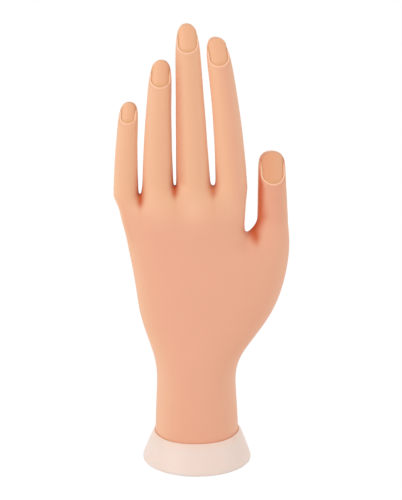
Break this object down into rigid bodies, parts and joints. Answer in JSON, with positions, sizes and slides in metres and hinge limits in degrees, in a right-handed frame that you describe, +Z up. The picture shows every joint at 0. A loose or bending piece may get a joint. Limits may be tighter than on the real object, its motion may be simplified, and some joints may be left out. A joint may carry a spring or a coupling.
{
  "type": "nail practice hand",
  "caption": "Upright soft left practice hand with jointed fingers, slide-in nail plates and a flared round cup base, for trying manicure and false nail work.",
  "frame": {"origin": "centre of the cup base's flat round underside, where the hand stands on a table", "axes": "+Z up along the wrist to the fingertips, +X to the thumb's side, +Y out of the palm; the back of the hand and the nails face -Y"},
  "size_m": [0.0884, 0.056, 0.2247],
  "materials": {
    "skin": "soft satin moulded vinyl, warm skin tone",
    "nail": "thin satin plastic nail plate, natural tint",
    "cup_plastic": "milky pinkish moulded plastic",
    "keel_plastic": "plain off-white moulded plastic",
    "pin_steel": "plain steel pin"
  },
  "bodies": {
    "cup": {"cup_base": "cup_plastic"},
    "hand": {"palm_skin": "skin", "palm_frame": "keel_plastic", "little_knuckle_pin": "pin_steel", "ring_knuckle_pin": "pin_steel", "middle_knuckle_pin": "pin_steel", "index_knuckle_pin": "pin_steel", "thumb_knuckle_pin": "pin_steel"},
    "little_proximal": {"little_knuckle_skin": "skin", "little_proximal_skin": "skin", "little_proximal_bone": "keel_plastic", "little_middle_joint_pin": "pin_steel"},
    "little_middle": {"little_middle_joint_skin": "skin", "little_middle_skin": "skin", "little_middle_bone": "keel_plastic"},
    "little_tip": {"little_tip_joint_skin": "skin", "little_fingertip": "skin", "little_tip_bone": "keel_plastic"},
    "little_nail": {"little_nail": "nail"},
    "ring_proximal": {"ring_knuckle_skin": "skin", "ring_proximal_skin": "skin", "ring_proximal_bone": "keel_plastic", "ring_middle_joint_pin": "pin_steel"},
    "ring_middle": {"ring_middle_joint_skin": "skin", "ring_middle_skin": "skin", "ring_middle_bone": "keel_plastic"},
    "ring_tip": {"ring_tip_joint_skin": "skin", "ring_fingertip": "skin", "ring_tip_bone": "keel_plastic"},
    "ring_nail": {"ring_nail": "nail"},
    "middle_proximal": {"middle_knuckle_skin": "skin", "middle_proximal_skin": "skin", "middle_proximal_bone": "keel_plastic", "middle_middle_joint_pin": "pin_steel"},
    "middle_middle": {"middle_middle_joint_skin": "skin", "middle_middle_skin": "skin", "middle_middle_bone": "keel_plastic"},
    "middle_tip": {"middle_tip_joint_skin": "skin", "middle_fingertip": "skin", "middle_tip_bone": "keel_plastic"},
    "middle_nail": {"middle_nail": "nail"},
    "index_proximal": {"index_knuckle_skin": "skin", "index_proximal_skin": "skin", "index_proximal_bone": "keel_plastic", "index_middle_joint_pin": "pin_steel"},
    "index_middle": {"index_middle_joint_skin": "skin", "index_middle_skin": "skin", "index_middle_bone": "keel_plastic"},
    "index_tip": {"index_tip_joint_skin": "skin", "index_fingertip": "skin", "index_tip_bone": "keel_plastic"},
    "index_nail": {"index_nail": "nail"},
    "thumb_proximal": {"thumb_knuckle_skin": "skin", "thumb_proximal_skin": "skin", "thumb_proximal_bone": "keel_plastic"},
    "thumb_tip": {"thumb_tip_joint_skin": "skin", "thumb_fingertip": "skin", "thumb_tip_bone": "keel_plastic"},
    "thumb_nail": {"thumb_nail": "nail"}
  },
  "joints": [
    {"name": "hand_lift", "type": "slide", "parent": "cup", "child": "hand", "axis": [0, 0, 1], "range_m": [0, 0.06]},
    {"name": "little_knuckle", "type": "hinge", "parent": "hand", "child": "little_proximal", "pos_m": [-0.03541, 0.00009, 0.14532], "axis": [-1, 0, 0], "range_deg": [-10, 60], "deforming": ["little_knuckle_skin"]},
    {"name": "little_middle_joint", "type": "hinge", "parent": "little_proximal", "child": "little_middle", "pos_m": [-0.03519, 0.00077, 0.1574], "axis": [-1, 0, 0], "range_deg": [0, 70], "deforming": ["little_middle_joint_skin"]},
    {"name": "little_tip_joint", "type": "hinge", "parent": "little_middle", "child": "little_tip", "pos_m": [-0.03461, 0.00219, 0.17], "axis": [-1, 0, 0], "range_deg": [0, 45], "deforming": ["little_tip_joint_skin"]},
    {"name": "little_nail_slide", "type": "slide", "parent": "little_tip", "child": "little_nail", "axis": [0.0691, 0.2987, 0.9519], "range_m": [0, 0.013]},
    {"name": "ring_knuckle", "type": "hinge", "parent": "hand", "child": "ring_proximal", "pos_m": [-0.01945, 0.00007, 0.1509], "axis": [-1, 0, 0], "range_deg": [-10, 60], "deforming": ["ring_knuckle_skin"]},
    {"name": "ring_middle_joint", "type": "hinge", "parent": "ring_proximal", "child": "ring_middle", "pos_m": [-0.01925, 0.00103, 0.1698], "axis": [-1, 0, 0], "range_deg": [0, 70], "deforming": ["ring_middle_joint_skin"]},
    {"name": "ring_tip_joint", "type": "hinge", "parent": "ring_middle", "child": "ring_tip", "pos_m": [-0.01861, 0.00289, 0.1873], "axis": [-1, 0, 0], "range_deg": [0, 45], "deforming": ["ring_tip_joint_skin"]},
    {"name": "ring_nail_slide", "type": "slide", "parent": "ring_tip", "child": "ring_nail", "axis": [0.0559, 0.2844, 0.9571], "range_m": [0, 0.016]},
    {"name": "middle_knuckle", "type": "hinge", "parent": "hand", "child": "middle_proximal", "pos_m": [-0.00197, 0.00006, 0.15132], "axis": [-1, 0, 0], "range_deg": [-10, 60], "deforming": ["middle_knuckle_skin"]},
    {"name": "middle_middle_joint", "type": "hinge", "parent": "middle_proximal", "child": "middle_middle", "pos_m": [-0.00312, 0.00148, 0.1808], "axis": [-1, 0, 0], "range_deg": [0, 70], "deforming": ["middle_middle_joint_skin"]},
    {"name": "middle_tip_joint", "type": "hinge", "parent": "middle_middle", "child": "middle_tip", "pos_m": [-0.00405, 0.00379, 0.2029], "axis": [-1, 0, 0], "range_deg": [0, 45], "deforming": ["middle_tip_joint_skin"]},
    {"name": "middle_nail_slide", "type": "slide", "parent": "middle_tip", "child": "middle_nail", "axis": [-0.0435, 0.278, 0.9596], "range_m": [0, 0.017]},
    {"name": "index_knuckle", "type": "hinge", "parent": "hand", "child": "index_proximal", "pos_m": [0.01704, 0.00006, 0.15099], "axis": [-1, 0, 0], "range_deg": [-10, 60], "deforming": ["index_knuckle_skin"]},
    {"name": "index_middle_joint", "type": "hinge", "parent": "index_proximal", "child": "index_middle", "pos_m": [0.01504, 0.00122, 0.1767], "axis": [-1, 0, 0], "range_deg": [0, 70], "deforming": ["index_middle_joint_skin"]},
    {"name": "index_tip_joint", "type": "hinge", "parent": "index_middle", "child": "index_tip", "pos_m": [0.01247, 0.00324, 0.1972], "axis": [-1, 0, 0], "range_deg": [0, 45], "deforming": ["index_tip_joint_skin"]},
    {"name": "index_nail_slide", "type": "slide", "parent": "index_tip", "child": "index_nail", "axis": [-0.1544, 0.2695, 0.9505], "range_m": [0, 0.017]},
    {"name": "thumb_knuckle", "type": "hinge", "parent": "hand", "child": "thumb_proximal", "pos_m": [0.03823, 0.00205, 0.12558], "axis": [-1, 0, 0], "range_deg": [0, 35], "deforming": ["thumb_knuckle_skin"]},
    {"name": "thumb_tip_joint", "type": "hinge", "parent": "thumb_proximal", "child": "thumb_tip", "pos_m": [0.03793, 0.00254, 0.1377], "axis": [-1, 0, 0], "range_deg": [0, 40], "deforming": ["thumb_tip_joint_skin"]},
    {"name": "thumb_nail_slide", "type": "slide", "parent": "thumb_tip", "child": "thumb_nail", "axis": [-0.0244, 0.2256, 0.9739], "range_m": [0, 0.019]}
  ]
}
